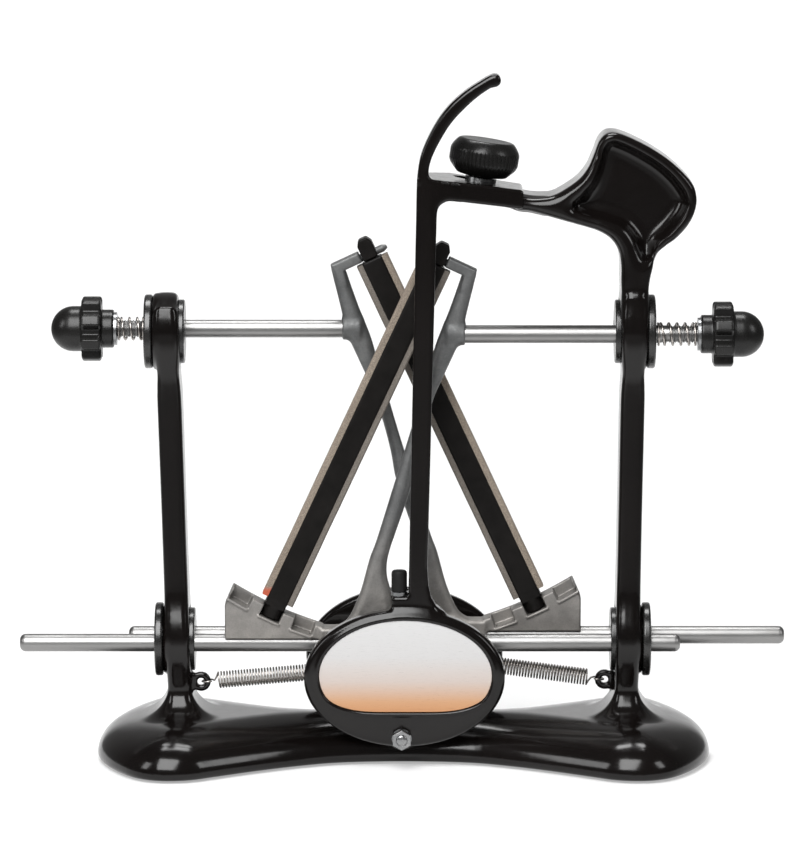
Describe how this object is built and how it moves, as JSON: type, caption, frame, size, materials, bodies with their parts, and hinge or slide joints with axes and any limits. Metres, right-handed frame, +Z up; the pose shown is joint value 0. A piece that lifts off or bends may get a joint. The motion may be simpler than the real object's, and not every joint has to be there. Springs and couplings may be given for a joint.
{
  "type": "honing guide",
  "caption": "Bench honing guide: black cast frame with hand rest, crossing spring-loaded arms with honing bars in stepped quadrants, and a curved blade guide.",
  "frame": {"origin": "on the table under the middle of the base", "axes": "+X to the user's right along the rods, +Y to the back, +Z up"},
  "size_m": [0.346, 0.119, 0.3134],
  "materials": {
    "black_enamel": "gloss",
    "bush_plastic": "satin",
    "rubber": "matte",
    "badge_foil": "satin",
    "cast_aluminium": "cast",
    "ground_rod": "ground",
    "coarse_abrasive": "gritty",
    "fine_abrasive": "gritty",
    "holder_plastic": "satin",
    "knob_plastic": "satin",
    "spring_wire": "bright",
    "zinc_steel": "zinc plated"
  },
  "bodies": {
    "frame": {"frame_casting": "black_enamel", "rubber_feet": "rubber", "outer_bush_upper_left": "bush_plastic", "outer_bush_upper_right": "bush_plastic", "outer_bush_lower_left": "bush_plastic", "outer_bush_lower_right": "bush_plastic", "inner_bush_upper_left": "bush_plastic", "inner_bush_upper_right": "bush_plastic", "inner_bush_lower_left": "bush_plastic", "inner_bush_lower_right": "bush_plastic", "blade_guide": "black_enamel", "badge_plate": "badge_foil", "rear_cover": "black_enamel", "guide_bolt": "zinc_steel", "guide_bolt_washers": "zinc_steel", "guide_nut": "zinc_steel", "edge_stop_washer": "zinc_steel", "edge_stop": "rubber", "edge_stop_screw": "zinc_steel", "left_return_spring": "spring_wire", "right_return_spring": "spring_wire"},
    "right_arm": {"right_arm_casting": "cast_aluminium", "right_lower_rod": "ground_rod", "right_upper_rod": "ground_rod", "right_rod_pins": "zinc_steel", "right_tension_spring": "spring_wire"},
    "left_arm": {"left_arm_casting": "cast_aluminium", "left_lower_rod": "ground_rod", "left_upper_rod": "ground_rod", "left_rod_pins": "zinc_steel", "left_tension_spring": "spring_wire"},
    "right_bar_head": {"right_bar_head": "holder_plastic"},
    "left_bar_head": {"left_bar_head": "holder_plastic"},
    "right_bar": {"right_bar_holder": "holder_plastic", "right_coarse_strip": "coarse_abrasive", "right_fine_strip": "fine_abrasive"},
    "left_bar": {"left_bar_holder": "holder_plastic", "left_coarse_strip": "coarse_abrasive", "left_fine_strip": "fine_abrasive"},
    "right_washer": {"right_spring_washer": "zinc_steel"},
    "left_washer": {"left_spring_washer": "zinc_steel"},
    "right_knob": {"right_tension_knob_grip": "knob_plastic"},
    "left_knob": {"left_tension_knob_grip": "knob_plastic"},
    "clamp_washer": {"clamp_washer": "zinc_steel"},
    "clamp_knob": {"clamp_knob_grip": "knob_plastic", "clamp_stud": "zinc_steel"}
  },
  "joints": [
    {"name": "right_arm_slide", "type": "slide", "parent": "frame", "child": "right_arm", "axis": [1, 0, 0], "range_m": [0, 0.022], "stiffness_N_per_m": 150, "springref_m": -0.012, "deforming": ["left_return_spring"]},
    {"name": "left_arm_slide", "type": "slide", "parent": "frame", "child": "left_arm", "axis": [-1, 0, 0], "range_m": [0, 0.022], "stiffness_N_per_m": 150, "springref_m": -0.012, "deforming": ["right_return_spring"]},
    {"name": "right_bar_tilt", "type": "hinge", "parent": "right_arm", "child": "right_bar_head", "pos_m": [0.0153, -0.009, 0.2283], "axis": [-0.9063, 0, 0.4226], "range_deg": [0, 3.8]},
    {"name": "left_bar_tilt", "type": "hinge", "parent": "left_arm", "child": "left_bar_head", "pos_m": [-0.0153, 0.009, 0.2283], "axis": [-0.9063, 0, -0.4226], "range_deg": [0, 3.8]},
    {"name": "right_bar_turn", "type": "hinge", "parent": "right_bar_head", "child": "right_bar", "pos_m": [0.0153, -0.009, 0.2283], "axis": [0.4226, 0, 0.9063], "continuous": true},
    {"name": "left_bar_turn", "type": "hinge", "parent": "left_bar_head", "child": "left_bar", "pos_m": [-0.0153, 0.009, 0.2283], "axis": [-0.4226, 0, 0.9063], "continuous": true},
    {"name": "right_washer_travel", "type": "slide", "parent": "right_arm", "child": "right_washer", "axis": [1, 0, 0], "range_m": [-0.004, 0.004], "deforming": ["right_tension_spring"]},
    {"name": "right_knob_turn", "type": "hinge", "parent": "right_washer", "child": "right_knob", "pos_m": [0.14, -0.009, 0.1945], "axis": [1, 0, 0], "range_deg": [-1080, 1080]},
    {"name": "left_washer_travel", "type": "slide", "parent": "left_arm", "child": "left_washer", "axis": [1, 0, 0], "range_m": [-0.004, 0.004], "deforming": ["left_tension_spring"]},
    {"name": "left_knob_turn", "type": "hinge", "parent": "left_washer", "child": "left_knob", "pos_m": [-0.14, 0.009, 0.1945], "axis": [1, 0, 0], "range_deg": [-1080, 1080]},
    {"name": "clamp_washer_lift", "type": "slide", "parent": "frame", "child": "clamp_washer", "axis": [0.1532, 0, 0.9882], "range_m": [0, 0.0058]},
    {"name": "clamp_knob_turn", "type": "hinge", "parent": "clamp_washer", "child": "clamp_knob", "pos_m": [0.0344, 0.001, 0.26261], "axis": [0.1532, 0, 0.9882], "range_deg": [0, 1620]}
  ],
  "couplings": [
    {"joint": "right_washer_travel", "follows": "right_knob_turn", "m_per_rad": 0.00019894},
    {"joint": "left_washer_travel", "follows": "left_knob_turn", "m_per_rad": 0.00019894},
    {"joint": "clamp_washer_lift", "follows": "clamp_knob_turn", "m_per_rad": 0.00019894}
  ]
}
